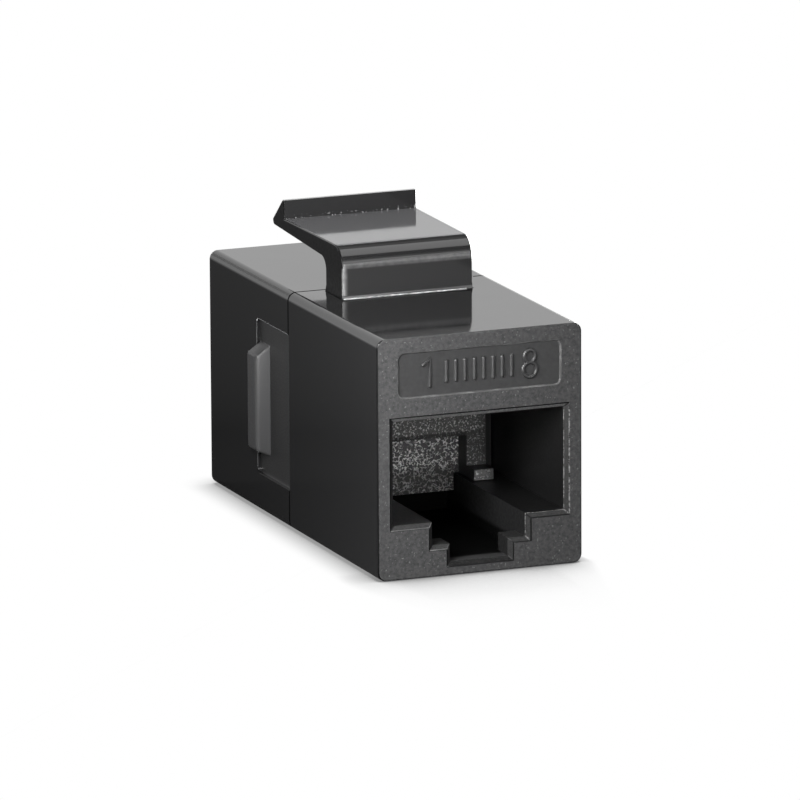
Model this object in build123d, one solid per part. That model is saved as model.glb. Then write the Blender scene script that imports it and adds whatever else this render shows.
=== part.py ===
"""Inline coupler that clips into a keystone opening and joins two eight-contact network plugs.

Millimetres, +Z up. The near port faces -Y and the far port +Y. The origin is under the middle.
"""

from build123d import *
from math import cos, radians
import os

os.makedirs("parts", exist_ok=True)

# Plug opening and the two steps below it for the plug's tab
plug_width = 12.1
plug_height = 6.95
bay_width = 6.6
bay_height = 1.55
slot_width = 4.1
slot_height = 1.2
port_bevel = 0.3
port_frame_depth = 2.0

# Casing
tab_floor = 0.9
side_wall = 1.2
roof_wall = 2.9
body_edge_radius = 0.6
face_edge_radius = 0.12
seam_edge_break = 0.1
cutter_overrun = 1.0
front_half_extra = 0.6

# Contact carrier
fit_gap = 0.05
plug_depth = 12.7
carrier_wall = 2.15
carrier_roof = 2.0
wire_room = 0.7
carrier_nose_setback = 1.6
frame_relief = 1.4
frame_half_width = 5.0
frame_column_width = 1.4
frame_opening_height = 2.9
foot_relief = 1.4
foot_height = 0.8
panel_drop = 1.2
lower_wall_setback = 1.3

# Contact wires
contact_count = 8
contact_pitch = 1.02
wire_diameter = 0.4
wire_gap = 0.08
wire_bend_radius = 0.45
wire_knee_setback = 1.0
wire_knee_height = 1.0
wire_tip_depth = 0.5
wire_tip_rise = 1.9
comb_depth = 0.9
comb_floor_rise = 1.45
tail_row_pitch = 1.3
tail_stand_out = 0.1
tail_groove_depth = 0.8

# Circuit board
board_thickness = 1.2
board_hole_gap = 0.05

# Snap tongues that hold the halves together
tongue_thickness = 1.0
tongue_height = 3.2
tongue_reach = 1.6
tongue_root = 2.7
tongue_middle_z = 8.0
barb_height = 0.35
barb_length = 0.9

# Sunken label panel on the near face
label_width = 11.5
label_height = 3.0
label_above_port = 1.3
label_corner = 0.45
label_depth = 0.15

# Sunken side panels and their ribs on the rear half
side_panel_length = 5.95
side_panel_height = 10.65
side_panel_bottom = 2.7
side_panel_depth = 0.25
side_panel_corner = 0.35
rib_back_gap = 0.1
rib_length = 1.75
rib_height = 1.05
rib_root_height = 7.7
rib_bottom_rise = 1.4
rib_top_slope = 0.7
rib_bottom_slope = 0.5
rib_edge_radius = 0.3

# Latch
latch_width = 9.35
arm_flare = 0.17
latch_side_gap = 0.05
post_thickness = 2.9
post_to_seam = 0.45
latch_rise = 3.48
bend_radius = 1.4
arm_root_thickness = 1.25
arm_tip_thickness = 0.72
inner_bend_radius = 0.9
arm_reach = 9.55
lip_setback = 2.1
lip_height = 1.27
lip_top_length = 0.3
lip_tip_height = 0.35
lip_tip_radius = 0.2
root_radius = 1.55
root_depth = 0.35
root_gap = 0.03
latch_edge_radius = 0.12

# Heights and lengths that follow
bay_floor = tab_floor + slot_height
plug_floor = bay_floor + bay_height
plug_top = plug_floor + plug_height
carrier_bottom = plug_top + wire_room
carrier_top = carrier_bottom + carrier_roof
hollow_top = carrier_top + fit_gap
body_height = hollow_top + roof_wall
body_width = plug_width + 2 * side_wall
body_half_length = plug_depth + carrier_wall + fit_gap + board_thickness / 2
face_y = -body_half_length
seam_y = front_half_extra
carrier_wall_y = face_y + plug_depth
carrier_back_y = carrier_wall_y + carrier_wall
carrier_nose_y = face_y + port_frame_depth + carrier_nose_setback
carrier_width = plug_width - 2 * fit_gap
run_z = carrier_bottom + carrier_roof * 0.45
groove_width = wire_diameter + 2 * wire_gap
pivot_y = seam_y - post_to_seam - post_thickness / 2
pivot_z = body_height - root_depth
latch_length = root_radius + post_thickness / 2 + arm_reach
root_flare = arm_flare * 2 * root_radius / latch_length


def block(x_span, y_span, z_span):
    """A box from its low and high values along each axis"""
    low = Vector(x_span[0], y_span[0], z_span[0])
    high = Vector(x_span[1], y_span[1], z_span[1])
    size = high - low
    return Pos((low + high) * 0.5) * Box(size.X, size.Y, size.Z)


def bar(width, y_span, z_span):
    """A box that is centred across the width"""
    return block((-width / 2, width / 2), y_span, z_span)


def upright(y):
    """The plane at depth y, seen from the near end, with its own y axis up"""
    return Plane(origin=(0, y, 0), x_dir=(1, 0, 0), z_dir=(0, -1, 0))


def both_sides(piece):
    """The piece and its mirror image across the width"""
    return piece + mirror(piece, about=Plane.YZ)


def port_profile(y, grow):
    """The stepped outline of the plug opening, larger all round by grow"""
    half_plug = plug_width / 2 + grow
    half_bay = bay_width / 2 + grow
    half_slot = slot_width / 2 + grow
    right = [
        (half_plug, plug_top + grow),
        (half_plug, plug_floor - grow),
        (half_bay, plug_floor - grow),
        (half_bay, bay_floor - grow),
        (half_slot, bay_floor - grow),
        (half_slot, tab_floor - grow),
    ]
    left = [(-x, z) for x, z in reversed(right)]
    return upright(y) * make_face(Polyline(*right, *left, close=True))


def port_space(inner_end):
    """Everything that is open inside a half: its bevelled port, the plug bay and the tab bay"""
    frame_back = face_y + port_frame_depth
    mouth = loft([port_profile(face_y, port_bevel), port_profile(face_y + port_bevel, 0)])
    passage = extrude(port_profile(face_y, 0), -port_frame_depth)
    plug_bay = bar(plug_width, (frame_back, inner_end), (plug_floor, hollow_top))
    tab_bay = bar(bay_width, (frame_back, inner_end), (tab_floor, plug_floor))
    return mouth + passage + plug_bay + tab_bay


def half_casing(inner_end):
    """One half of the casing from its port face to the seam, with its inside cut out"""
    casing = bar(body_width, (face_y, inner_end), (0, body_height))
    casing = fillet(casing.edges().filter_by(Axis.Y), body_edge_radius)
    casing = fillet(casing.faces().sort_by(Axis.Y)[0].edges(), face_edge_radius)
    casing = chamfer(casing.faces().sort_by(Axis.Y)[-1].edges(), seam_edge_break)
    return casing - port_space(inner_end)


def label_recess():
    """The shallow rounded panel above the near port"""
    middle_z = plug_top + port_bevel + label_above_port + label_height / 2
    outline = upright(face_y) * Pos(0, middle_z) * RectangleRounded(label_width, label_height, label_corner)
    return extrude(outline, -label_depth)


def latch_seat():
    """The round trough in the roof that holds the latch's root"""
    trough = Cylinder(root_radius + root_gap, latch_width + 2 * (root_flare + latch_side_gap))
    return Pos(0, pivot_y, pivot_z) * Rot(0, 90, 0) * trough


def tongue_span():
    """Low and high edges of the snap tongues"""
    return tongue_middle_z - tongue_height / 2, tongue_middle_z + tongue_height / 2


def snap_tongue():
    """The right-hand tongue of the front half, with its root pad and its barb"""
    low, high = tongue_span()
    outer_x = plug_width / 2 - fit_gap
    inner_x = outer_x - tongue_thickness
    end_y = seam_y + tongue_reach
    pad = block((inner_x, plug_width / 2), (seam_y - tongue_root, seam_y), (low, high))
    blade = block((inner_x, outer_x), (seam_y, end_y), (low, high))
    ramp = [(outer_x, end_y), (outer_x + barb_height, end_y - barb_length), (outer_x, end_y - barb_length)]
    barb = Pos(0, 0, low) * extrude(make_face(Polyline(*ramp, close=True)), tongue_height)
    return pad + blade + barb


def barb_pocket():
    """The blind pocket in the right-hand wall of the rear half that the barb clicks into"""
    low, high = tongue_span()
    end_y = seam_y + tongue_reach + fit_gap
    depth = barb_height + fit_gap
    x_span = (plug_width / 2 - fit_gap, plug_width / 2 - fit_gap + depth)
    y_span = (end_y - barb_length - 2 * fit_gap, end_y)
    return block(x_span, y_span, (low - fit_gap, high + fit_gap))


def side_panel():
    """The shallow recess in the right-hand side of the rear half, open at the seam"""
    end_y = seam_y + side_panel_length
    top_z = side_panel_bottom + side_panel_height
    panel_x = body_width / 2 - side_panel_depth
    x_span = (panel_x, body_width / 2 + cutter_overrun)
    recess = block(x_span, (seam_y - cutter_overrun, end_y), (side_panel_bottom, top_z))
    end_edges = recess.edges().filter_by(Axis.X).group_by(Axis.Y)[-1]
    return fillet(end_edges, side_panel_corner)


def side_rib():
    """The rib that stands in the right-hand side panel, sloped at both ends"""
    low_x = body_width / 2 - side_panel_depth
    high_x = low_x + rib_height
    back_y = seam_y + side_panel_length - rib_back_gap
    bottom_z = side_panel_bottom + rib_bottom_rise
    top_z = bottom_z + rib_root_height
    outline = [
        (low_x, bottom_z),
        (high_x, bottom_z + rib_bottom_slope),
        (high_x, top_z - rib_top_slope),
        (low_x, top_z),
    ]
    rib = extrude(upright(back_y - rib_length) * make_face(Polyline(*outline, close=True)), -rib_length)
    return fillet(rib.faces().sort_by(Axis.X)[-1].edges(), rib_edge_radius)


def make_front_shell():
    """The near half of the casing, with the label panel, the latch seat and the tongues"""
    shell = half_casing(seam_y) - label_recess() - latch_seat()
    return shell + both_sides(snap_tongue())


def make_rear_shell():
    """The far half of the casing, with the side panels, their ribs and the barb pockets"""
    shell = Rot(0, 0, 180) * half_casing(-seam_y)
    shell = shell - both_sides(side_panel()) - both_sides(barb_pocket())
    return shell + both_sides(side_rib())


def carrier_frame():
    """The relief on the carrier's wall: a header, two columns and the feet that stop the plug"""
    frame_y = carrier_wall_y - frame_relief
    foot_y = frame_y - foot_relief
    base_z = plug_floor + fit_gap
    header_z = plug_floor + frame_opening_height
    header = bar(2 * frame_half_width, (frame_y, carrier_wall_y), (header_z, carrier_bottom))
    x_span = (frame_half_width - frame_column_width, frame_half_width)
    column = block(x_span, (frame_y, carrier_wall_y), (base_z, header_z))
    foot = block(x_span, (foot_y, frame_y), (base_z, plug_floor + foot_height))
    return header + both_sides(column + foot)


def contact_x(index):
    """Place of a contact across the width, counted from the left"""
    return (index - (contact_count - 1) / 2) * contact_pitch


def carrier_slots():
    """The comb for the wires' tips, the grooves over the roof and the grooves for their tails"""
    frame_y = carrier_wall_y - frame_relief
    comb_z = (plug_floor + frame_opening_height + comb_floor_rise, carrier_bottom)
    groove_z = (run_z - wire_diameter / 2 - wire_gap, carrier_top)
    lowest_tail_z = run_z - 3 * tail_row_pitch - wire_diameter / 2 - wire_gap
    tail_y = (carrier_back_y - tail_groove_depth, carrier_back_y)
    comb = bar(groove_width, (frame_y, carrier_wall_y + comb_depth), comb_z)
    over_roof = bar(groove_width, (carrier_nose_y, carrier_back_y), groove_z)
    down_back = bar(groove_width, tail_y, (lowest_tail_z, carrier_top))
    one = comb + over_roof + down_back
    return [Pos(contact_x(index), 0, 0) * one for index in range(contact_count)]


def make_contact_carrier():
    """The insert of the near port: its wall closes the plug bay and its roof carries the wires"""
    low, high = tongue_span()
    channel_width = bay_width - 2 * fit_gap
    panel_z = plug_floor + fit_gap - panel_drop
    y_span = (carrier_wall_y, carrier_back_y)
    wall = bar(carrier_width, y_span, (plug_floor + fit_gap, carrier_top))
    panel = bar(channel_width, y_span, (panel_z, plug_floor + fit_gap))
    lower_y = (carrier_wall_y + lower_wall_setback, carrier_back_y)
    lower_wall = bar(channel_width, lower_y, (tab_floor + fit_gap, panel_z))
    roof = bar(carrier_width, (carrier_nose_y, carrier_wall_y), (carrier_bottom, carrier_top))
    notch_x = plug_width / 2 - 2 * fit_gap - tongue_thickness
    notch_reach = max(tongue_root - seam_y, tongue_reach + seam_y) + fit_gap
    notch = block((notch_x, plug_width / 2), (-notch_reach, carrier_back_y), (low - fit_gap, high + fit_gap))
    carrier = wall + panel + lower_wall + roof + carrier_frame() - both_sides(notch)
    return carrier - carrier_slots()


def make_contact(index, row):
    """One spring wire of the near port, whose tail meets the board in the given row"""
    knee_y = face_y + port_frame_depth + wire_knee_setback
    jog_y = carrier_back_y - tail_groove_depth / 2
    tail_y = board_thickness / 2 + tail_stand_out
    tail_z = run_z - row * tail_row_pitch
    points = [
        (carrier_wall_y + wire_tip_depth, plug_floor + frame_opening_height + wire_tip_rise),
        (knee_y, run_z - wire_knee_height),
        (knee_y, run_z),
    ]
    if row > 0:
        points += [(jog_y, run_z), (jog_y, tail_z)]
    points.append((tail_y, tail_z))
    path = Plane.YZ * FilletPolyline(*points, radius=wire_bend_radius)
    start = Plane(origin=path @ 0, z_dir=path % 0)
    wire = sweep(start * Circle(wire_diameter / 2), path=path)
    return Pos(contact_x(index), 0, 0) * wire


def make_circuit_board():
    """The upright board between the carriers, notched for the tongues and drilled for the tails"""
    low, high = tongue_span()
    y_span = (-board_thickness / 2, board_thickness / 2)
    board = bar(carrier_width, y_span, (plug_floor + fit_gap, carrier_top))
    notch_x = plug_width / 2 - 2 * fit_gap - tongue_thickness
    notch = block((notch_x, plug_width / 2), y_span, (low - fit_gap, high + fit_gap))
    hole = Rot(90, 0, 0) * Cylinder(wire_diameter / 2 + board_hole_gap, 2 * board_thickness)
    holes = []
    for index in range(contact_count):
        for row in (index % 2, index % 2 + 2):
            holes.append(Pos(contact_x(index), 0, run_z - row * tail_row_pitch) * hole)
    return board - both_sides(notch) - holes


def latch_profile():
    """Side view of the latch: round root, thick post, thin arm and the catch lip at its end"""
    front_y = pivot_y - post_thickness / 2
    back_y = pivot_y + post_thickness / 2
    top_z = body_height + latch_rise
    lip_y = back_y + arm_reach - lip_setback
    lip_top_z = top_z + lip_height
    tip_y = back_y + arm_reach
    root_under_z = top_z - arm_root_thickness
    tip_under_z = top_z - arm_tip_thickness
    corner = bend_radius * (1 - cos(radians(45)))
    lines = Polyline((back_y, pivot_z), (front_y, pivot_z), (front_y, top_z - bend_radius))
    lines += ThreePointArc(
        (front_y, top_z - bend_radius),
        (front_y + corner, top_z - corner),
        (front_y + bend_radius, top_z),
    )
    outline = [
        (front_y + bend_radius, top_z),
        (lip_y, top_z),
        (lip_y, lip_top_z),
        (lip_y + lip_top_length, lip_top_z),
        (tip_y, top_z - lip_tip_height),
        (tip_y - lip_tip_radius, tip_under_z),
        (back_y, root_under_z),
        (back_y, pivot_z),
    ]
    lines += Polyline(*outline)
    strip = make_face(lines)
    inner_bend = strip.vertices().sort_by_distance((back_y, root_under_z, 0))[0]
    strip = fillet(inner_bend, inner_bend_radius)
    tips = strip.vertices().sort_by_distance((tip_y, top_z - lip_tip_height, 0))[:2]
    strip = fillet(tips, lip_tip_radius)
    return strip + Pos(pivot_y, pivot_z) * Circle(root_radius)


def latch_plan():
    """The latch seen from above, slightly wider towards its tip"""
    front_y = pivot_y - root_radius
    tip_y = front_y + latch_length
    narrow = latch_width / 2
    wide = narrow + arm_flare
    return make_face(Polyline((narrow, front_y), (wide, tip_y), (-wide, tip_y), (-narrow, front_y), close=True))


def make_release_latch():
    """The sprung latch, pressed down to free the coupler from its panel"""
    side_view = extrude(Plane.YZ * latch_profile(), latch_width / 2 + arm_flare, both=True)
    latch = side_view & extrude(latch_plan(), 2 * body_height)
    flanks = latch.faces().sort_by(Axis.X)
    rims = [edge for flank in (flanks[0], flanks[-1]) for edge in flank.edges()]
    exposed = [edge for edge in rims if edge.center().Z > body_height]
    return fillet(exposed, latch_edge_radius)


export_step(make_front_shell(), "parts/front_shell.step")
export_step(make_rear_shell(), "parts/rear_shell.step")
export_step(make_release_latch(), "parts/release_latch.step")

turned = Rot(0, 0, 180)
front_carrier = make_contact_carrier()
export_step(front_carrier, "parts/front_contact_carrier.step")
export_step(turned * front_carrier, "parts/rear_contact_carrier.step")
export_step(make_circuit_board(), "parts/circuit_board.step")

for index in range(contact_count):
    number = index + 1
    export_step(make_contact(index, index % 2), f"parts/front_contact_{number}.step")
    rear_contact = turned * make_contact(contact_count - 1 - index, index % 2 + 2)
    export_step(rear_contact, f"parts/rear_contact_{number}.step")
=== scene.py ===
from math import cos, pi, radians, sin

import bmesh
import bpy
from mathutils import Matrix, Vector


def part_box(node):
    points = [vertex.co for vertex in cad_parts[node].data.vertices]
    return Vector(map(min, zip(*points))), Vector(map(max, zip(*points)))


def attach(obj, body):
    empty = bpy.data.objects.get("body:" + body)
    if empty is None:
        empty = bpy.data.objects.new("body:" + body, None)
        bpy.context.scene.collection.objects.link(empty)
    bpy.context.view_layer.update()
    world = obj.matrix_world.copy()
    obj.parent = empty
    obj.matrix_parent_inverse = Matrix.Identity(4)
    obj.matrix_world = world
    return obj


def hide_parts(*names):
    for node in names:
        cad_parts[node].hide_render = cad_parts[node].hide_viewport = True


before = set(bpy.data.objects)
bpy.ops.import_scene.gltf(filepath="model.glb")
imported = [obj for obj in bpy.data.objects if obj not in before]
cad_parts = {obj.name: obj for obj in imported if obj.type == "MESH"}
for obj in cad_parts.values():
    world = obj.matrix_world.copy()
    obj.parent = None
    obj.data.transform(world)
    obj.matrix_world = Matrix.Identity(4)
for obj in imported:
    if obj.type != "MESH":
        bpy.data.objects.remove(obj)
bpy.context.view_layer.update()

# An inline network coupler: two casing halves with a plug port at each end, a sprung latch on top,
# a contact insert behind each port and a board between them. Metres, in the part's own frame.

mm = 0.001

# Sizes that the frame gives
front_low, front_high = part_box("front_shell")
rear_low, rear_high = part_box("rear_shell")
carrier_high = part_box("front_contact_carrier")[1]
face_y = front_low.y
far_y = rear_high.y
seam_y = rear_low.y
half_width = front_high.x
body_top = rear_high.z
plug_half_width = carrier_high.x

# Camera, found from the straight edges of the object in the picture
camera_place = Vector((-240.755, -607.275, 156.919)) * mm
camera_yaw = radians(21.668)
camera_pitch = radians(12.809)
camera_roll = radians(-0.317)
camera_lens = 449.42
sensor_width = 36.0

# How the pieces are cleaned and rounded
weld_distance = 0.002 * mm
flat_angle = radians(0.5)
crease_angle = radians(50)
softened_angle = radians(35)
edge_softness = 0.05 * mm
seam_softness = 0.08 * mm
rib_softness = 0.2 * mm
broad_face = 0.45 * mm
rim_strip_width = 0.12 * mm


# Tools for meshes

def new_piece(name, mesh):
    """A shown object at the origin that holds the mesh"""
    piece = bpy.data.objects.new(name, mesh)
    bpy.context.scene.collection.objects.link(piece)
    return piece


def joined_shape(node):
    """A CAD node's triangles, joined at their corners, with each flat face made whole"""
    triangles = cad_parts[node].data
    mesh = bpy.data.meshes.new(node + "_joined")
    mesh.from_pydata(
        [v.co for v in triangles.vertices], [], [tuple(p.vertices) for p in triangles.polygons]
    )
    shape = bmesh.new()
    shape.from_mesh(mesh)
    bpy.data.meshes.remove(mesh)
    bmesh.ops.remove_doubles(shape, verts=shape.verts, dist=weld_distance)
    bmesh.ops.dissolve_limit(shape, angle_limit=flat_angle, verts=shape.verts, edges=shape.edges)
    return shape


def edge_angle(edge):
    """The turn between an edge's two faces"""
    return edge.calc_face_angle(0.0) if len(edge.link_faces) == 2 else 0.0


def soften(shape, softness_of):
    """Marks how far each sharp edge is rounded, as a share of the widest, and creases the others"""
    weight = shape.edges.layers.float.new("bevel_weight_edge")
    for edge in shape.edges:
        sharp = edge_angle(edge) > crease_angle
        middle = (edge.verts[0].co + edge.verts[1].co) / 2
        softness = softness_of(middle, edge) if edge_angle(edge) > softened_angle else 0.0
        edge[weight] = softness / rib_softness
        edge.smooth = softness > 0 or not sharp


def is_broad(face):
    """Whether a face is a flat of its own and not a strip of a rounded edge"""
    longest = max(edge.calc_length() for edge in face.edges)
    return face.calc_area() > broad_face * longest


def shade_round_edges(mesh, is_soft):
    """Keeps broad faces flat in their shading and blends soft faces and the strips between"""
    shape = bmesh.new()
    shape.from_mesh(mesh)
    shape.faces.ensure_lookup_table()
    broad = [is_broad(face) for face in shape.faces]
    normals = []
    for face in shape.faces:
        for corner in face.loops:
            around = [other for other in corner.vert.link_faces
                      if other.normal.angle(face.normal, pi) < crease_angle]
            flats = [other for other in around if broad[other.index]]
            if is_soft(face.calc_center_median()):
                normal = sum((other.normal for other in around), Vector())
            elif broad[face.index]:
                normal = face.normal
            elif flats:
                normal = min(flats, key=lambda other: other.normal.angle(face.normal, pi)).normal
            else:
                normal = sum((other.normal * other.calc_area() for other in around), Vector())
            normals.append(normal.normalized())
    shape.free()
    mesh.normals_split_custom_set(normals)


def with_modifiers_applied(piece):
    """Replaces the piece's mesh by its evaluated one and drops the modifiers"""
    graph = bpy.context.evaluated_depsgraph_get()
    evaluated = piece.evaluated_get(graph)
    mesh = bpy.data.meshes.new_from_object(
        evaluated, preserve_all_data_layers=True, depsgraph=graph
    )
    piece.modifiers.clear()
    piece.data = mesh
    return piece


def finished_piece(name, shape, materials, choose_material, is_soft=lambda point: False):
    """A piece from a shape whose marked edges are rounded, with a material chosen for each face"""
    for face in shape.faces:
        material = choose_material(face.calc_center_median(), face.normal)
        face.smooth = True
        face.material_index = materials.index(material)
    mesh = bpy.data.meshes.new(name)
    shape.to_mesh(mesh)
    shape.free()
    for material in materials:
        mesh.materials.append(material)
    piece = new_piece(name, mesh)
    bevel = piece.modifiers.new("soft_edges", "BEVEL")
    bevel.limit_method = "WEIGHT"
    bevel.width = rib_softness
    bevel.segments = 3
    bevel.use_clamp_overlap = False
    with_modifiers_applied(piece)
    shade_round_edges(piece.data, is_soft)
    return piece


# Tools for repeated shapes

def new_tree(name, sockets):
    """A geometry tree with a geometry input and output and the named inputs between them"""
    tree = bpy.data.node_groups.new(name, "GeometryNodeTree")
    tree.interface.new_socket("Geometry", in_out="INPUT", socket_type="NodeSocketGeometry")
    for label, kind in sockets:
        tree.interface.new_socket(label, in_out="INPUT", socket_type="NodeSocket" + kind)
    tree.interface.new_socket("Geometry", in_out="OUTPUT", socket_type="NodeSocketGeometry")
    return tree, tree.nodes.new("NodeGroupInput").outputs


def step(tree, kind, mode="", **inputs):
    """A node of the tree; its inputs are other nodes' outputs or plain values, _ for a space"""
    node = tree.nodes.new(kind)
    if mode:
        node.mode = mode
    for name, value in inputs.items():
        socket = node.inputs[name.replace("_", " ")]
        if isinstance(value, bpy.types.NodeSocket):
            tree.links.new(value, socket)
        else:
            socket.default_value = value
    return node


def finish_tree(tree, geometry, material):
    """Ends the tree with real geometry in its material"""
    real = step(tree, "GeometryNodeRealizeInstances", Geometry=geometry)
    coated = step(tree, "GeometryNodeSetMaterial", Geometry=real.outputs[0], Material=material)
    tree.links.new(coated.outputs[0], tree.nodes.new("NodeGroupOutput").inputs[0])


def grown_piece(name, lines, tree, **settings):
    """A piece that the tree grows from lines of points, with the tree's inputs set by name"""
    points = [point for line, _ in lines for point in line]
    edges = []
    first = 0
    for line, closed in lines:
        edges += [(first + i, first + i + 1) for i in range(len(line) - 1)]
        if closed:
            edges.append((first + len(line) - 1, first))
        first += len(line)
    mesh = bpy.data.meshes.new(name)
    mesh.from_pydata([Vector(point) * mm for point in points], edges, [])
    piece = new_piece(name, mesh)
    modifier = piece.modifiers.new(name, "NODES")
    modifier.node_group = tree
    for item in tree.interface.items_tree:
        key = item.name.replace(" ", "_")
        if item.in_out == "INPUT" and key in settings:
            modifier[item.identifier] = settings[key]
    return with_modifiers_applied(piece)


# Tools for materials

def shader(material, kind, **inputs):
    """A node of that kind with its inputs set by name, where a name has _ for a space"""
    node = material.node_tree.nodes.new(kind)
    for name, value in inputs.items():
        node.inputs[name.replace("_", " ")].default_value = value
    return node


def plastic(name, colour, roughness, sheen=0.5):
    """A new material, its shader and its texture place in millimetres of the object's own space"""
    material = bpy.data.materials.new(name)
    material.use_nodes = True
    principled = material.node_tree.nodes["Principled BSDF"]
    principled.inputs["Base Color"].default_value = (*colour, 1)
    principled.inputs["Roughness"].default_value = roughness
    principled.inputs["IOR"].default_value = 1.5
    principled.inputs["Specular IOR Level"].default_value = sheen
    place = material.node_tree.nodes.new("ShaderNodeTexCoord")
    scale = shader(material, "ShaderNodeMapping", Scale=(1 / mm, 1 / mm, 1 / mm))
    material.node_tree.links.new(place.outputs["Object"], scale.inputs["Vector"])
    return material, principled, scale.outputs["Vector"]


def paint(material, principled, colour=None, roughness=None):
    """Lets a pattern give the shader's colour, its roughness or both"""
    if colour is not None:
        material.node_tree.links.new(colour, principled.inputs["Base Color"])
    if roughness is not None:
        material.node_tree.links.new(roughness, principled.inputs["Roughness"])


def noise(material, place, per_mm, detail=2.0, roughness=0.5):
    """A noise pattern with that many cells in a millimetre"""
    node = shader(material, "ShaderNodeTexNoise", Scale=per_mm, Detail=detail, Roughness=roughness)
    material.node_tree.links.new(place, node.inputs["Vector"])
    return node.outputs["Fac"]


def spread(material, value, low, high, from_low=0.3, from_high=0.7):
    """The value stretched from one range to another"""
    node = shader(material, "ShaderNodeMapRange", From_Min=from_low, From_Max=from_high,
                  To_Min=low, To_Max=high)
    material.node_tree.links.new(value, node.inputs["Value"])
    return node.outputs["Result"]


def calculated(material, operation, *values):
    """The result of an operation on values, each a number or another node's output"""
    node = shader(material, "ShaderNodeMath")
    node.operation = operation
    for socket, value in zip(node.inputs, values):
        if isinstance(value, bpy.types.NodeSocket):
            material.node_tree.links.new(value, socket)
        else:
            socket.default_value = value
    return node.outputs[0]


def product(material, first, second):
    """Two values multiplied"""
    return calculated(material, "MULTIPLY", first, second)


def along(material, place, axis):
    """The part of a place that lies along one axis"""
    parts = shader(material, "ShaderNodeSeparateXYZ")
    material.node_tree.links.new(place, parts.inputs[0])
    return parts.outputs[axis]


def shaded_along(material, place, axis, start, end, low, high):
    """A value from low at one distance from the middle to high at another, along one axis"""
    distance = calculated(material, "ABSOLUTE", along(material, place, axis))
    return spread(material, distance, low, high, start / mm, end / mm)


def two_colours(material, factor, first, second):
    """A colour between two, by the factor; either one is three numbers or another node's output"""
    node = material.node_tree.nodes.new("ShaderNodeMix")
    node.data_type = "RGBA"
    ends = [socket for socket in node.inputs if socket.type == "RGBA"]
    for socket, colour in zip(ends, (first, second)):
        if isinstance(colour, tuple):
            socket.default_value = (*colour, 1)
        else:
            material.node_tree.links.new(colour, socket)
    material.node_tree.links.new(factor, node.inputs["Factor"])
    return next(socket for socket in node.outputs if socket.type == "RGBA")


def mottled(material, pattern, dark, pale):
    """A colour that follows a noise pattern from dark to pale"""
    return two_colours(material, spread(material, pattern, 0, 1), dark, pale)


def add_bump(material, principled, height, depth):
    """Raises the surface by the height pattern, depth metres from low to high"""
    node = shader(material, "ShaderNodeBump", Strength=1.0, Distance=depth)
    material.node_tree.links.new(height, node.inputs["Height"])
    material.node_tree.links.new(node.outputs["Normal"], principled.inputs["Normal"])


# Heights and widths on the object that the finishes follow
bay_shadow_z = 1.5 * mm
plug_floor = 3.65 * mm
sill_z = 3.9 * mm
plug_top = 10.6 * mm
header_z = 6.55 * mm
column_x = 3.6 * mm
post_half_width = 4.675 * mm
post_front_top = 18.33 * mm
arm_top = 19.73 * mm


# Finishes

dead_black = (0.0008, 0.0008, 0.0008)


def polished_black(name, tone, sheen=0.5):
    """Polished mould face: mirror-like, with a faint waviness and faint haze"""
    material, principled, place = plastic(name, (tone, tone, tone * 1.03), 0.06, sheen)
    haze = noise(material, place, 0.6, detail=4)
    paint(material, principled, roughness=spread(material, haze, 0.05, 0.09))
    add_bump(material, principled, noise(material, place, 0.25, detail=1), 0.004 * mm)
    return material


def post_front_black():
    """The front of the latch's post: glossy, with a painted highlight along its left and upper
    edges
    """
    dark, pale_speck_and_glow = (0.0124, 0.0124, 0.0126), (0.32, 0.32, 0.322)
    left, top = -post_half_width / mm, post_front_top / mm
    material, principled, place = plastic("post_front_black", dark, 0.1, sheen=0.2)
    # Painted highlight: paler towards the left and upper edges, broken up by the noise
    beside = spread(material, along(material, place, "X"), 1, 0, left, left + 0.5)
    above = spread(material, along(material, place, "Z"), 0, 0.36, top - 0.14, top)
    nearest = calculated(material, "MAXIMUM", beside, above)
    glow_breaks = spread(material, noise(material, place, 3, detail=3), 0.5, 1)
    share = product(material, product(material, nearest, nearest), glow_breaks)
    paint(material, principled, two_colours(material, share, dark, pale_speck_and_glow))
    return material


def lip_face_black():
    """The front of the latch's lip: glossy and darker, with sparse pale specks along its foot"""
    dark, pale_speck_and_glow = (0.0132, 0.0132, 0.0135), (0.24, 0.24, 0.242)
    material, principled, place = plastic("lip_face", dark, 0.1, sheen=0.1)
    specks = spread(material, noise(material, place, 5, detail=1), 0, 1, 0.6, 0.72)
    near_foot = shaded_along(material, place, "Z", arm_top + 0.05 * mm, arm_top + 0.3 * mm, 1, 0)
    share = product(material, specks, near_foot)
    paint(material, principled, two_colours(material, share, dark, pale_speck_and_glow))
    return material


def satin_black(name, tone, sheen=0.5):
    """Dull black with a fine even grain, for the sunken side panels and the ribs"""
    material, principled, place = plastic(name, (tone, tone, tone * 1.02), 0.42, sheen)
    grain = noise(material, place, 9, detail=3)
    paint(material, principled, roughness=spread(material, grain, 0.36, 0.5))
    add_bump(material, principled, grain, 0.006 * mm)
    return material


def flank_black():
    """The latch's sawn-off flanks: dark, with a low sheen; also laid on casing edges as painted
    shade
    """
    material, principled, place = plastic("flank_black", (0.002, 0.002, 0.0021), 0.34, sheen=0.12)
    grain = noise(material, place, 4, detail=3)
    paint(material, principled, roughness=spread(material, grain, 0.32, 0.46))
    return material


def label_black():
    """The sunken label place: smoother than the face around it"""
    material, principled, place = plastic("label_black", (0.02, 0.02, 0.0205), 0.45)
    grain = noise(material, place, 3, detail=4, roughness=0.6)
    tone = mottled(material, grain, (0.008, 0.008, 0.0082), (0.016, 0.016, 0.0163))
    paint(material, principled, tone)
    add_bump(material, principled, grain, 0.01 * mm)
    return material


def unlit_black():
    """The deep end of the tab bay: dead black"""
    material, principled, place = plastic("unlit_black", dead_black, 0.6, sheen=0.03)
    grain = noise(material, place, 5, detail=3)
    paint(material, principled, roughness=spread(material, grain, 0.5, 0.7))
    return material


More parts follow.
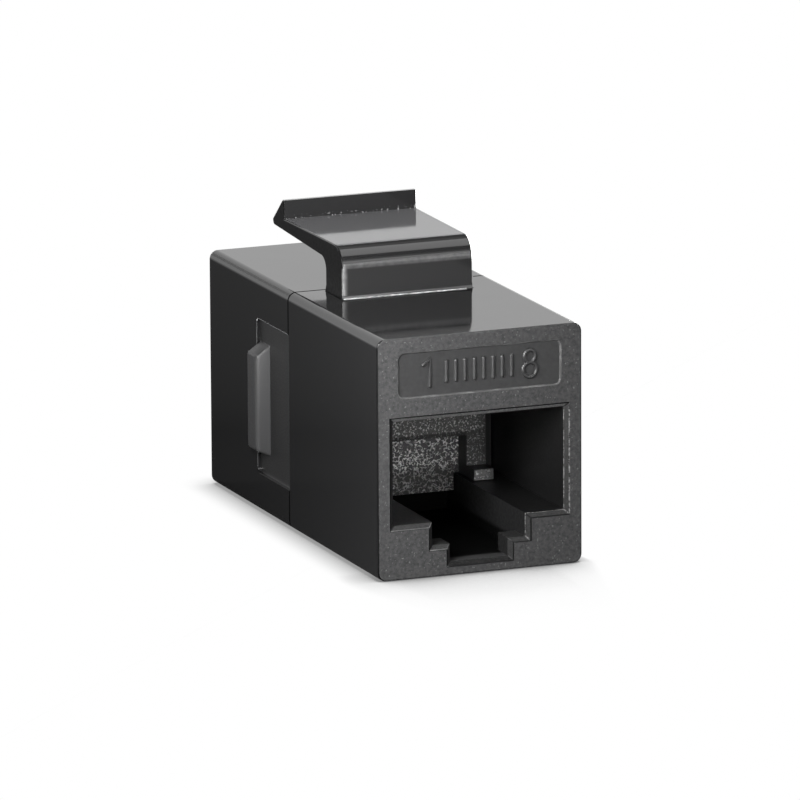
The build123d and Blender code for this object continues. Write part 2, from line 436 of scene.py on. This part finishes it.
def port_wall_black():
    """Walls inside a port: deep black with a low sheen"""
    dark = (0.004, 0.004, 0.0041)
    material, principled, place = plastic("port_wall_black", dark, 0.36, sheen=0.3)
    grain = noise(material, place, 5, detail=3)
    paint(material, principled, roughness=spread(material, grain, 0.33, 0.4))
    return material


def mouth_black(name, tone, sheen=0.15):
    """The slanted rim round a port's mouth"""
    material, principled, place = plastic(name, (tone, tone, tone), 0.5, sheen)
    grain = noise(material, place, 7, detail=3)
    darker, paler = 0.6 * tone, 1.4 * tone
    paint(material, principled, mottled(material, grain, (darker,) * 3, (paler,) * 3))
    add_bump(material, principled, grain, 0.02 * mm)
    return material


def bay_wall_black():
    """The walls of the bay under the plug: dull black, and dead black near the floor as a painted
    shadow
    """
    material, principled, place = plastic("bay_wall_black", (0.009, 0.009, 0.009), 0.5, sheen=0.1)
    grain = noise(material, place, 5, detail=3)
    # Painted shadow: dead black below this height
    height = shaded_along(material, place, "Z", bay_shadow_z, bay_shadow_z + 0.3 * mm, 0, 1)
    tone = two_colours(material, height, dead_black, (0.008, 0.008, 0.0082))
    paint(material, principled, tone, spread(material, grain, 0.45, 0.6))
    return material


def bay_floor_black():
    """The floor of the bay under the plug: dull at the port's mouth and dead black behind, a
    painted shadow
    """
    material, principled, place = plastic("bay_floor_black", (0.001, 0.001, 0.001), 0.6, sheen=0.03)
    # Painted shadow: dead black deeper in the bay
    front = shaded_along(material, place, "Y", far_y - 1.4 * mm, far_y - 1.0 * mm, 0, 1)
    paint(material, principled, two_colours(material, front, dead_black, (0.02, 0.02, 0.0202)))
    return material


def worn_rim(name, per_mm, dark, pale, smoothest):
    """The fine rounded rims of the port and the label place, with a pale painted highlight broken
    up by a noise
    """
    material, principled, place = plastic(name, (dark, dark, dark), smoothest)
    highlight_breaks = noise(material, place, per_mm, detail=3, roughness=0.6)
    highlit = spread(material, highlight_breaks, 0, 1, 0.45, 0.6)
    tone = two_colours(material, highlit, (dark, dark, dark), (pale, pale, pale))
    paint(material, principled, tone, spread(material, highlight_breaks, smoothest, smoothest + 0.15))
    return material


def blasted_face():
    """Port face: fine blasted texture with sparse faint specks"""
    material, principled, place = plastic("blasted_face", (0.03, 0.03, 0.031), 0.5, sheen=0.1)
    grain = noise(material, place, 4.5, detail=6, roughness=0.75)
    specks = noise(material, place, 6.5, detail=1)
    mottle = mottled(material, grain, (0.017, 0.017, 0.0174), (0.046, 0.046, 0.0465))
    pale = spread(material, specks, 0, 0.7, from_low=0.67, from_high=0.75)
    tone = two_colours(material, pale, mottle, (0.1, 0.1, 0.101))
    paint(material, principled, tone, spread(material, grain, 0.58, 0.44))
    add_bump(material, principled, grain, 0.03 * mm)
    return material


def worms(material, place, per_mm, width):
    """A pattern of short winding lines, 1 on a line and 0 between them"""
    field = noise(material, place, per_mm, detail=1.5, roughness=0.6)
    from_line = calculated(material, "ABSOLUTE", calculated(material, "SUBTRACT", field, 0.5))
    return spread(material, from_line, 1, 0, 0, width)


def spark_eroded():
    """The insert's back wall: coarse spark-eroded texture of small winding humps, painted
    near-white as glints, with a painted shadow under the header and painted shade towards the sill
    """
    material, principled, place = plastic("spark_eroded", (0.03, 0.03, 0.031), 0.3)
    lines = worms(material, place, 3.4, 0.08)
    patches = noise(material, place, 6.5, detail=1)
    worm_glints = product(material, lines, spread(material, patches, 0.1, 1, 0.42, 0.53))
    # Painted shadow under the header and painted shade towards the sill
    shadow_low, shadow_high = header_z - 0.5 * mm, header_z - 0.2 * mm
    header_shadow = shaded_along(material, place, "Z", shadow_low, shadow_high, 1, 0.25)
    sill_shade = shaded_along(material, place, "Z", sill_z, sill_z + 0.6 * mm, 0.35, 1)
    lit = product(material, header_shadow, sill_shade)
    # The humps painted near-white, as glints
    pattern = two_colours(material, worm_glints, (0.07, 0.07, 0.071), (1.0, 1.0, 1.0))
    paint(material, principled, two_colours(material, lit, (0.012, 0.012, 0.012), pattern))
    add_bump(material, principled, lines, 0.06 * mm)
    return material


def insert_grain(name, tone, edge_reach, fade, shadow_top):
    """The insert's frame: dull black grain with pale specks as painted glints that thin out
    sideways, painted shade sideways and a painted shadow below that spares the columns
    """
    material, principled, place = plastic(name, (tone, tone, tone), 0.4, sheen=0.2)
    grain = noise(material, place, 6, detail=3, roughness=0.6)
    specks = noise(material, place, 8.5, detail=1.5)
    mottle = mottled(material, grain, (0.8 * tone,) * 3, (1.5 * tone,) * 3)
    # Painted glints: the pale specks thin out away from the middle
    glint_falloff = shaded_along(material, place, "X", column_x, column_x + edge_reach, 1, 0.3)
    pale = product(material, spread(material, specks, 0, 1, 0.56, 0.68), glint_falloff)
    grain_and_glints = two_colours(material, pale, mottle, (7 * tone,) * 3)
    # Painted shade sideways, and a painted shadow below the top that spares the columns
    fade_start, fade_end = column_x + 0.6 * mm, column_x + 1.5 * mm
    side_shade = shaded_along(material, place, "X", fade_start, fade_end, 1, fade)
    above = shaded_along(material, place, "Z", shadow_top - 0.12 * mm, shadow_top, 0.3, 1)
    column_start, column_end = column_x - 0.05 * mm, column_x + 0.05 * mm
    on_column = shaded_along(material, place, "X", column_start, column_end, 0, 0.65)
    lit = product(material, side_shade, calculated(material, "MAXIMUM", above, on_column))
    paint(material, principled, two_colours(material, lit, (0.001, 0.001, 0.001), grain_and_glints))
    add_bump(material, principled, grain, 0.04 * mm)
    return material


def pale_bead():
    """The thin bead along the foot of the latch's post, pale in patches as a painted highlight"""
    material, principled, place = plastic("pale_bead", (0.35, 0.35, 0.352), 0.35)
    highlight_breaks = noise(material, place, 3, detail=3)
    paint(material, principled, mottled(material, highlight_breaks, (0.08, 0.08, 0.082), (0.5, 0.5, 0.503)))
    return material


def gold_plated():
    """Contact wires: gold over brass with fine drawing marks"""
    material, principled, place = plastic("gold_plated", (0.83, 0.62, 0.25), 0.22)
    principled.inputs["Metallic"].default_value = 1.0
    marks = noise(material, place, 12, detail=2)
    paint(material, principled, roughness=spread(material, marks, 0.16, 0.3))
    return material


def solder_mask():
    """Circuit board: green mask over woven glass"""
    material, principled, place = plastic("solder_mask", (0.03, 0.16, 0.07), 0.35)
    weave = noise(material, place, 4, detail=2)
    green = mottled(material, weave, (0.024, 0.13, 0.055), (0.036, 0.19, 0.085))
    paint(material, principled, green)
    return material


polished = polished_black("polished_black", 0.0075)
# The arm's top: a much paler copy of the polished face, a painted reflection of the lip
arm_top_sheen = polished_black("hazed_top", 0.12, 0.45)
post_front = post_front_black()
lip_face = lip_face_black()
satin = satin_black("satin_panel", 0.01)
rib = satin_black("satin_rib", 0.029, 0.35)
# A pale copy for the side panels' top rims: a painted highlight
lit_rim = satin_black("lit_rim", 0.2)
flank_and_shade = flank_black()
label_place = label_black()
port_wall = port_wall_black()
mouth = mouth_black("mouth_black", 0.0135)
# A much paler copy for the downward rim over the mouth: painted light
mouth_top = mouth_black("mouth_top", 0.12)
mouth_foot = mouth_black("mouth_foot", 0.009, 0.02)
slot_floor = mouth_black("slot_floor", 0.012, 0.1)
bay_floor = bay_floor_black()
bay_wall = bay_wall_black()
# Pale rims: painted highlights along the edges of the ports and the label places
port_rim_highlight = worn_rim("worn_rim", 4.5, 0.02, 0.12, 0.22)
label_rim = worn_rim("label_rim", 1.6, 0.03, 0.065, 0.42)
unlit = unlit_black()
blasted = blasted_face()
eroded = spark_eroded()
grained = insert_grain("insert_grain", 0.065, 3 * mm, 0.6, header_z + 0.35 * mm)
column = insert_grain("insert_column", 0.085, 0.6 * mm, 0.4, plug_floor)
bead = pale_bead()
gold = gold_plated()
board_green = solder_mask()


# Casing halves

port_frame_depth = 2.0 * mm
port_bevel = 0.3 * mm
rim_reach = 0.1 * mm
floor_thickness = 0.9 * mm
roof_thickness = 2.9 * mm
label_depth = 0.15 * mm
label_bottom = body_top - 4.3 * mm
tab_shadow_z = 1.6 * mm
panel_low, panel_high = 2 * mm, 14 * mm
panel_top = 13.35 * mm
panel_middle = 8 * mm
seam_reach = 0.11 * mm
corner_reach = 0.15 * mm
outer_reach = 0.7 * mm
shortest_soft_edge = 0.03 * mm
on_face = 0.02 * mm
on_side = 0.01 * mm
on_seam_line = 0.03 * mm
on_end_face = 0.2 * mm
on_panel_edge = 0.06 * mm
seam_clearance = 0.2 * mm
panel_rim_height = 0.2 * mm
casing_edge_width = 0.8 * mm
lowest_rim_z = 0.5 * mm
label_rim_z = label_bottom - 0.3 * mm
sill_end_x = -2 * mm
highlight_outer_x = 6 * mm
highlight_inner_x = 2.9 * mm
squarely = 0.9
casing_materials = [
    polished, blasted, satin, port_wall, unlit, label_place, mouth, port_rim_highlight, rib,
    flank_and_shade, mouth_top, mouth_foot, bay_wall, label_rim, lit_rim, slot_floor,
    bay_floor,
]


def from_end(point):
    """How far a point lies behind the nearer port face"""
    return min(point.y - face_y, far_y - point.y)


def inside_casing(point):
    """Whether a point lies on the port's inner walls"""
    across = abs(point.x) < plug_half_width + port_bevel + rim_reach
    lowest = floor_thickness - port_bevel - on_face
    return across and lowest < point.z < body_top - roof_thickness + on_face


def on_rib(point):
    """Whether a point stands proud of the casing's side"""
    return abs(point.x) > half_width + on_side


def port_finish(point, normal):
    """The finish of a face inside a port: its mouth, the bay under the plug or a wall"""
    depth = from_end(point)
    if depth < port_bevel + rim_reach:
        if normal.z < -0.5:
            return mouth_top
        return mouth_foot if point.z < tab_shadow_z and normal.z > 0.5 else mouth
    if point.z < tab_shadow_z and depth > port_frame_depth:
        return bay_floor if normal.z > squarely else unlit
    below_plug = point.z < plug_floor - rim_reach
    if below_plug and abs(normal.x) > squarely:
        return bay_wall if depth > port_frame_depth else mouth_foot
    return slot_floor if below_plug and normal.z > squarely else port_wall


def casing_finish(point, normal):
    """The finish of a face of a casing half"""
    depth = from_end(point)
    if abs(point.y - seam_y) < seam_reach and 0.2 < abs(normal.y) < 0.95:
        return unlit
    on_label = abs(depth - label_depth) < on_face and point.z > label_bottom
    if on_label and abs(normal.y) > squarely:
        return label_place
    at_corner = abs(point.x) > half_width - corner_reach or point.z > body_top - corner_reach
    if depth < port_bevel and (abs(normal.y) > 0.8 or at_corner and abs(normal.y) > 0.2):
        # Painted shade: the port face's side edges in the dark flank finish
        return flank_and_shade if abs(normal.x) > 0.3 else blasted
    if inside_casing(point):
        return port_finish(point, normal)
    if on_rib(point):
        return rib
    sunk = half_width - abs(point.x) > rim_reach and point.y > seam_y
    return satin if sunk and abs(normal.x) > 0.7 else polished


def casing_softness(middle, edge):
    """How far an edge of a casing half is rounded"""
    depth = from_end(middle)
    if edge.calc_length() < shortest_soft_edge:
        return 0.0
    if on_rib(middle):
        return rib_softness
    if depth < port_frame_depth + rim_reach and (inside_casing(middle) or depth < on_end_face):
        return edge_softness
    outside = abs(middle.x) > half_width - outer_reach or middle.z > body_top - outer_reach
    if abs(middle.y - seam_y) < on_seam_line and outside:
        return seam_softness
    at_side = abs(abs(middle.x) - half_width) < on_side
    on_panel = at_side and panel_low < middle.z < panel_high and middle.y > seam_y
    return edge_softness if on_panel else 0.0


def at_port_rim(point):
    """Whether a point is on the rims of a port face, but not at the casing's outer edges"""
    return (from_end(point) < port_bevel + rim_reach
            and abs(point.x) < half_width - casing_edge_width
            and lowest_rim_z < point.z < body_top - casing_edge_width)


def port_rim_finish(point, normal):
    """The finish of a port face's rim: a painted highlight on the lit side, a softer painted
    highlight at the label and sills, painted shade on the other outer rims
    """
    lit_side = point.x if point.y < 0 else -point.x
    outer = from_end(point) < port_bevel / 2
    on_sill = outer and normal.z > 0.2 and lit_side < sill_end_x
    if point.z > label_rim_z or on_sill:
        return label_rim
    if lit_side > (highlight_outer_x if outer else highlight_inner_x) and point.z < plug_top:
        return port_rim_highlight
    return flank_and_shade if outer else mouth


def at_panel_rim(point):
    """Whether a point is on the rim of a sunken side panel"""
    return (abs(abs(point.x) - half_width) < on_panel_edge
            and point.y > seam_y + seam_clearance and panel_low < point.z < panel_high)


def panel_rim_finish(point):
    """The finish of a side panel's rim: a painted highlight along the top, plain at the end,
    painted shade below
    """
    if point.z > panel_top - panel_rim_height:
        return lit_rim
    return rib if point.z > panel_middle else flank_and_shade


def longest_side(mesh, face):
    """The length of a face's longest side"""
    corners = [mesh.vertices[index].co for index in face.vertices]
    return max((a - b).length for a, b in zip(corners, corners[1:] + corners[:1]))


def make_casing(node, name):
    """A casing half with soft edges and a finish for each of its places"""
    shape = joined_shape(node)
    soften(shape, casing_softness)
    piece = finished_piece(name, shape, casing_materials, casing_finish, on_rib)
    for face in piece.data.polygons:
        if face.area >= rim_strip_width * longest_side(piece.data, face):
            continue
        if at_port_rim(face.center):
            finish = port_rim_finish(face.center, face.normal)
            face.material_index = casing_materials.index(finish)
        if at_panel_rim(face.center):
            face.material_index = casing_materials.index(panel_rim_finish(face.center))
    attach(piece, "casing")
    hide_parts(node)


make_casing("front_shell", "front_casing")
make_casing("rear_shell", "rear_casing")


# Latch

lip_foot_z = body_top + 3.5 * mm
arm_foot_z = body_top + 2 * mm


def latch_finish(point, normal):
    """The finish of a face of the latch"""
    if abs(normal.x) > squarely:
        return flank_and_shade
    above_roof = point.z > body_top
    # The post's left front edge: a painted highlight up to the bend, painted shade above it
    if above_roof and normal.x < -0.3 and normal.y < -0.3:
        return label_rim if point.z < post_front_top else flank_and_shade
    if above_roof and normal.y < -0.97:
        return lip_face if point.z > lip_foot_z else post_front
    # The arm's top is the paler copy, a painted reflection
    return arm_top_sheen if normal.z > 0.97 and point.z > arm_foot_z else polished


def make_latch():
    """The latch in its own finishes"""
    shape = joined_shape("release_latch")
    soften(shape, lambda middle, edge: 0.0)
    finishes = [polished, flank_and_shade, arm_top_sheen, label_rim, lip_face, post_front]
    piece = finished_piece("sprung_latch", shape, finishes, latch_finish)
    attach(piece, "latch")
    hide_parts("release_latch")


make_latch()


# Contact inserts

unlit_top = 2.45 * mm
back_wall_y = 2.8 * mm
on_back_wall = 0.05 * mm
column_edge_x = column_x - 0.1 * mm
column_top = header_z + 0.1 * mm
insert_softness = 0.04 * mm
shortest_insert_edge = 0.3 * mm
hidden_y = 1.2 * mm


def insert_finish(point, normal):
    """The finish of an insert's face: its back wall, the frame before it or a wall round them"""
    if point.z < unlit_top:
        return unlit
    if abs(normal.y) < 0.5:
        return port_wall
    if abs(abs(point.y) - back_wall_y) < on_back_wall:
        return eroded if abs(point.x) < column_x else port_wall
    return column if abs(point.x) > column_edge_x and point.z < column_top else grained


def insert_edge_softness(middle, edge):
    """How far an edge of an insert is rounded"""
    seen = edge.calc_length() > shortest_insert_edge and abs(middle.y) > hidden_y
    return insert_softness if seen else 0.0


def make_insert(node, name):
    """A contact insert with its back wall and frame in their own textures"""
    shape = joined_shape(node)
    soften(shape, insert_edge_softness)
    finishes = [eroded, grained, unlit, port_wall, column]
    piece = finished_piece(name, shape, finishes, insert_finish)
    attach(piece, "casing")
    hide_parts(node)


make_insert("front_contact_carrier", "front_insert")
make_insert("rear_contact_carrier", "rear_insert")


# Contact wires, in millimetres: the tip in the comb, the knee at the port, the run and the tail

wire_tip = (-2.3, 8.45)
wire_knee = (-12.5, 11.2)
run_height = 12.2
jog_y = -1.05
tail_y = 0.7
tail_row_pitch = 1.3
contact_count = 8
contact_pitch = 1.02
wire_radius = 0.2
wire_bend_radius = 0.45


def wire_tree():
    """Round wire along bent lines, repeated across the insert"""
    tree, given = new_tree("contact_wires", [
        ("Copies", "Int"), ("Spacing", "Float"), ("Wire radius", "Float"), ("Bend radius", "Float")
    ])
    line = step(tree, "GeometryNodeMeshToCurve", Mesh=given["Geometry"])
    bent = step(tree, "GeometryNodeFilletCurve", "POLY", Curve=line.outputs[0],
                Radius=given["Bend radius"], Count=6)
    ring = step(tree, "GeometryNodeCurvePrimitiveCircle", Resolution=16,
                Radius=given["Wire radius"])
    wire = step(tree, "GeometryNodeCurveToMesh", Curve=bent.outputs[0],
                Profile_Curve=ring.outputs[0], Fill_Caps=True)
    apart = step(tree, "ShaderNodeCombineXYZ", X=given["Spacing"])
    places = step(tree, "GeometryNodeMeshLine", Count=given["Copies"], Offset=apart.outputs[0])
    row = step(tree, "GeometryNodeInstanceOnPoints", Points=places.outputs[0],
               Instance=wire.outputs[0])
    finish_tree(tree, row.outputs[0], gold)
    return tree


def wire_line(index, row, turn):
    """The bent line of one wire, turned to the other port by a turn of -1"""
    x = (index - (contact_count - 1) / 2) * contact_pitch
    tail_height = run_height - row * tail_row_pitch
    line = [wire_tip, wire_knee, (wire_knee[0], run_height)]
    if row > 0:
        line += [(jog_y, run_height), (jog_y, tail_height)]
    line.append((tail_y, tail_height))
    return [(x, turn * y, z) for y, z in line], False


def make_wires(side, turn, rows):
    """The wires of one port, whose tails alternate between two rows of holes in the board"""
    lines = [wire_line(index, rows[index], turn) for index in (0, 1)]
    piece = grown_piece(
        side + "_contact_wires", lines, wires, Copies=contact_count // 2,
        Spacing=2 * contact_pitch * mm, Wire_radius=wire_radius * mm,
        Bend_radius=wire_bend_radius * mm
    )
    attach(piece, "casing")
    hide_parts(*[f"{side}_contact_{number}" for number in range(1, contact_count + 1)])


wires = wire_tree()
make_wires("front", 1, (0, 1))
make_wires("rear", -1, (2, 3))


# Raised marking of the contacts' order, in millimetres: a 1, a stroke for each contact and an 8

mark_radius = 0.14
mark_y = -15.5 + 0.15
stroke_height = 1.3
stroke_pitch = 0.66
first_stroke = (-2.31, mark_y, 13.1)
oval_points = 32


def mark_tree():
    """Round-ended raised strokes along lines, and a row of upright strokes between them"""
    tree, given = new_tree("contact_marking", [
        ("Strokes", "Int"), ("First stroke", "Vector"), ("Stroke height", "Float"),
        ("Spacing", "Float"), ("Radius", "Float")
    ])
    figures = step(tree, "GeometryNodeMeshToCurve", Mesh=given["Geometry"])
    rise = step(tree, "ShaderNodeCombineXYZ", Z=given["Stroke height"])
    stroke = step(tree, "GeometryNodeCurvePrimitiveLine", End=rise.outputs[0])
    apart = step(tree, "ShaderNodeCombineXYZ", X=given["Spacing"])
    places = step(tree, "GeometryNodeMeshLine", Count=given["Strokes"],
                  Start_Location=given["First stroke"], Offset=apart.outputs[0])
    row = step(tree, "GeometryNodeInstanceOnPoints", Points=places.outputs[0],
               Instance=stroke.outputs[0])
    strokes = step(tree, "GeometryNodeRealizeInstances", Geometry=row.outputs[0])
    lines = tree.nodes.new("GeometryNodeJoinGeometry")
    tree.links.new(figures.outputs[0], lines.inputs[0])
    tree.links.new(strokes.outputs[0], lines.inputs[0])
    ring = step(tree, "GeometryNodeCurvePrimitiveCircle", Resolution=16, Radius=given["Radius"])
    bars = step(tree, "GeometryNodeCurveToMesh", Curve=lines.outputs[0],
                Profile_Curve=ring.outputs[0])
    ball = step(tree, "GeometryNodeMeshUVSphere", Segments=16, Rings=12, Radius=given["Radius"])
    ends = step(tree, "GeometryNodeCurveEndpointSelection")
    balls = step(tree, "GeometryNodeInstanceOnPoints", Points=lines.outputs[0],
                 Instance=ball.outputs[0], Selection=ends.outputs[0])
    whole = tree.nodes.new("GeometryNodeJoinGeometry")
    tree.links.new(bars.outputs[0], whole.inputs[0])
    tree.links.new(balls.outputs[0], whole.inputs[0])
    smooth = step(tree, "GeometryNodeSetShadeSmooth", Geometry=whole.outputs[0])
    finish_tree(tree, smooth.outputs[0], label_place)
    return tree


def mark_loop(x, z, radius_x, radius_z):
    """A closed oval of points on the label place"""
    turns = [2 * pi * i / oval_points for i in range(oval_points)]
    return [(x + radius_x * cos(t), mark_y, z + radius_z * sin(t)) for t in turns], True


def make_marking():
    """The figures 1 and 8 with the strokes between them"""
    one = [(-3.95, mark_y, 14.3), (-3.5, mark_y, 14.65), (-3.5, mark_y, 12.85)], False
    eight_top = mark_loop(3.6, 14.25, 0.38, 0.42)
    eight_bottom = mark_loop(3.6, 13.35, 0.48, 0.5)
    piece = grown_piece(
        "contact_marking", [one, eight_top, eight_bottom], mark_tree(), Strokes=contact_count,
        First_stroke=Vector(first_stroke) * mm, Stroke_height=stroke_height * mm,
        Spacing=stroke_pitch * mm, Radius=mark_radius * mm
    )
    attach(piece, "casing")


make_marking()


# Thin bead along the foot of the latch's post

bead_start = (-4.6, -2.86, 16.25)
bead_end = (4.2, -2.86, 16.25)
bead_radius = 0.052 * mm
thinnest_share = 0.05
bead_waves_per_metre = 2200


def bead_tree():
    """An uneven thin round bead along a line"""
    tree, given = new_tree("post_bead", [
        ("Radius", "Float"), ("Unevenness", "Float"), ("Seed", "Float")
    ])
    line = step(tree, "GeometryNodeMeshToCurve", Mesh=given["Geometry"])
    fine = step(tree, "GeometryNodeResampleCurve", Curve=line.outputs[0], Count=240)
    place = step(tree, "GeometryNodeInputPosition")
    field = tree.nodes.new("ShaderNodeTexNoise")
    field.noise_dimensions = "4D"
    field.inputs["Scale"].default_value = bead_waves_per_metre
    field.inputs["Detail"].default_value = 3
    tree.links.new(place.outputs[0], field.inputs["Vector"])
    tree.links.new(given["Seed"], field.inputs["W"])
    swell = step(tree, "ShaderNodeMapRange", Value=field.outputs[0], From_Min=0.42, From_Max=0.62,
                 To_Min=given["Unevenness"], To_Max=1.0)
    sized = step(tree, "GeometryNodeSetCurveRadius", Curve=fine.outputs[0],
                 Radius=swell.outputs[0])
    ring = step(tree, "GeometryNodeCurvePrimitiveCircle", Resolution=10, Radius=given["Radius"])
    tube = step(tree, "GeometryNodeCurveToMesh", Curve=sized.outputs[0],
                Profile_Curve=ring.outputs[0], Fill_Caps=True)
    finish_tree(tree, tube.outputs[0], bead)
    return tree


def make_bead():
    """The bead, which stays on the roof when the latch is pressed"""
    line = [bead_start, bead_end], False
    piece = grown_piece(
        "post_foot_bead", [line], bead_tree(), Radius=bead_radius, Unevenness=thinnest_share,
        Seed=4.0
    )
    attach(piece, "casing")


make_bead()


# The board keeps its CAD mesh

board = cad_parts["circuit_board"].data
board.materials.clear()
board.materials.append(board_green)


# Studio

floor_reach = 4.0
floor_level = -0.02 * mm
narrow_shadow = 2.4 * mm
wide_shadow = 13 * mm
shadow_back_y = face_y + 3 * mm
shadow_left = (-9.5 * mm, -5.5 * mm)
shadow_right = (4.5 * mm, 8 * mm)


def make_floor():
    """A pale floor: white with a soft contact shadow to the camera, dim to the object above"""
    mesh = bpy.data.meshes.new("studio_floor")
    turns = [(-1, -1), (1, -1), (1, 1), (-1, 1)]
    corners = [(floor_reach * x, floor_reach * y, floor_level) for x, y in turns]
    mesh.from_pydata(corners, [], [(0, 1, 2, 3)])
    floor = new_piece("studio_floor", mesh)
    material = bpy.data.materials.new("studio_floor")
    material.use_nodes = True
    nodes, links = material.node_tree.nodes, material.node_tree.links
    nodes.clear()
    output = nodes.new("ShaderNodeOutputMaterial")
    path = nodes.new("ShaderNodeLightPath")
    place = nodes.new("ShaderNodeTexCoord").outputs["Object"]
    x, y = along(material, place, "X"), along(material, place, "Y")

    # The shadow is wide before the port face, narrow along the left and faint at the right end
    before = spread(material, y, 1, 0, face_y, shadow_back_y)
    inward = spread(material, x, 0, 1, *shadow_left)
    in_front = product(material, before, inward)
    left_of_end = spread(material, x, 1, 0.1, *shadow_right)
    widening = spread(material, in_front, narrow_shadow, wide_shadow, 0, 1)
    reach = product(material, widening, left_of_end)
    nearness = shader(material, "ShaderNodeAmbientOcclusion")
    nearness.samples = 16
    links.new(reach, nearness.inputs["Distance"])
    wide = spread(material, nearness.outputs["AO"], 0.4, 1.0, 0.4, 0.97)
    tight = spread(material, nearness.outputs["AO"], 0.4, 1.0, 0.45, 0.56)
    contact = tight.node
    links.new(spread(material, in_front, 0.8, 0.4, 0, 1), contact.inputs["To Min"])
    links.new(spread(material, in_front, 0.53, 0.59, 0, 1), contact.inputs["From Max"])
    white = shader(material, "ShaderNodeEmission")
    links.new(product(material, wide, tight), white.inputs["Strength"])

    # What the object reflects: bright far away, dim near it, with a faint glow under it
    away = nodes.new("ShaderNodeVectorMath")
    away.operation = "LENGTH"
    links.new(place, away.inputs[0])
    closeness = calculated(material, "DIVIDE", 1.0, away.outputs["Value"])
    far_glow = spread(material, closeness, 0.8, 0, 0, 11)
    near_glow = spread(material, closeness, 0.08, 0, 11, 30)
    glow = shader(material, "ShaderNodeEmission")
    links.new(calculated(material, "ADD", far_glow, near_glow), glow.inputs["Strength"])
    dim = shader(material, "ShaderNodeBsdfDiffuse", Color=(0.03, 0.03, 0.03, 1))
    reflected = nodes.new("ShaderNodeAddShader")
    links.new(dim.outputs[0], reflected.inputs[0])
    links.new(glow.outputs[0], reflected.inputs[1])
    choose = nodes.new("ShaderNodeMixShader")
    links.new(path.outputs["Is Camera Ray"], choose.inputs["Fac"])
    links.new(reflected.outputs[0], choose.inputs[1])
    links.new(white.outputs[0], choose.inputs[2])
    links.new(choose.outputs[0], output.inputs["Surface"])
    mesh.materials.append(material)


def make_world():
    """A white backdrop to the camera, and a white horizon under a darker band to all else"""
    world = bpy.data.worlds.new("studio")
    bpy.context.scene.world = world
    world.use_nodes = True
    nodes, links = world.node_tree.nodes, world.node_tree.links
    nodes.clear()
    place = nodes.new("ShaderNodeTexCoord")
    parts = nodes.new("ShaderNodeSeparateXYZ")
    height = nodes.new("ShaderNodeMapRange")
    height.inputs["From Min"].default_value = -1.0
    ramp = nodes.new("ShaderNodeValToRGB")
    stops = [(0, 0.6), (0.49, 0.8), (0.5, 1), (0.72, 1), (0.78, 0.25), (0.88, 0.25), (0.93, 0.6)]
    ramp.color_ramp.elements[0].position = stops[0][0]
    ramp.color_ramp.elements[1].position = stops[-1][0]
    for position, _ in stops[1:-1]:
        ramp.color_ramp.elements.new(position)
    for element, (_, value) in zip(ramp.color_ramp.elements, stops):
        element.color = (value, value, value, 1)
    path = nodes.new("ShaderNodeLightPath")
    studio = nodes.new("ShaderNodeBackground")
    white = nodes.new("ShaderNodeBackground")
    white.inputs["Color"].default_value = (1, 1, 1, 1)
    choose = nodes.new("ShaderNodeMixShader")
    output = nodes.new("ShaderNodeOutputWorld")
    links.new(place.outputs["Generated"], parts.inputs["Vector"])
    links.new(parts.outputs["Z"], height.inputs["Value"])
    links.new(height.outputs["Result"], ramp.inputs["Fac"])
    links.new(ramp.outputs["Color"], studio.inputs["Color"])
    links.new(path.outputs["Is Camera Ray"], choose.inputs["Fac"])
    links.new(studio.outputs[0], choose.inputs[1])
    links.new(white.outputs[0], choose.inputs[2])
    links.new(choose.outputs[0], output.inputs["Surface"])


def add_lamp(name, place, target, size, radiance):
    """A flat rectangular lamp that faces the target, of that radiance"""
    width, height = size
    data = bpy.data.lights.new(name, "AREA")
    data.shape = "RECTANGLE"
    data.size = width
    data.size_y = height
    data.energy = radiance * pi * width * height
    lamp = bpy.data.objects.new(name, data)
    bpy.context.scene.collection.objects.link(lamp)
    lamp.location = place
    lamp.rotation_euler = (Vector(target) - Vector(place)).to_track_quat("-Z", "Y").to_euler()
    lamp.visible_camera = False


def place_round(azimuth, elevation, distance):
    """A point round the object: azimuth 0 is in front of the near port, 90 to its right"""
    a, e = radians(azimuth), radians(elevation)
    return Vector((sin(a) * cos(e), -cos(a) * cos(e), sin(e))) * distance


def make_camera():
    """The camera at the picture's own angle"""
    data = bpy.data.cameras.new("camera")
    data.lens = camera_lens
    data.sensor_width = sensor_width
    data.clip_start = 0.01
    camera = bpy.data.objects.new("camera", data)
    bpy.context.scene.collection.objects.link(camera)
    turn = Matrix.Rotation(-camera_yaw, 4, "Z")
    tilt = Matrix.Rotation(pi / 2 - camera_pitch, 4, "X")
    roll = Matrix.Rotation(camera_roll, 4, "Z")
    camera.matrix_world = Matrix.Translation(camera_place) @ turn @ tilt @ roll
    bpy.context.scene.camera = camera


make_floor()
make_world()

# Two large lamps for the whole, and small ones for each half's end, in the part's own metres
middle = (0, 0, 0.01)
front_middle = (-0.005, -0.012, 0.009)
rear_middle = (0.005, 0.012, 0.009)
for name, place, target, size, radiance in [
    ("overhead_softbox", (0.15, -0.15, 0.5), middle, (0.5, 0.3), 2.2),
    ("front_strip", place_round(21, 6, 0.45), middle, (0.14, 0.05), 6.0),
    ("front_veil", place_round(21, 17.5, 0.45), middle, (0.14, 0.135), 1.8),
    ("near_key", (-0.03, -0.034, 0.026), front_middle, (0.014, 0.014), 90.0),
    ("port_fill", (-0.02, -0.16, 0.014), middle, (0.02, 0.02), 46.0),
    ("rear_key", (0.036, 0.03, 0.0155), rear_middle, (0.014, 0.014), 60.0),
    ("rear_port_fill", (0.02, 0.16, 0.014), middle, (0.02, 0.02), 46.0),
]:
    add_lamp(name, place, target, size, radiance)
make_camera()
bpy.context.scene.view_settings.view_transform = "Standard"
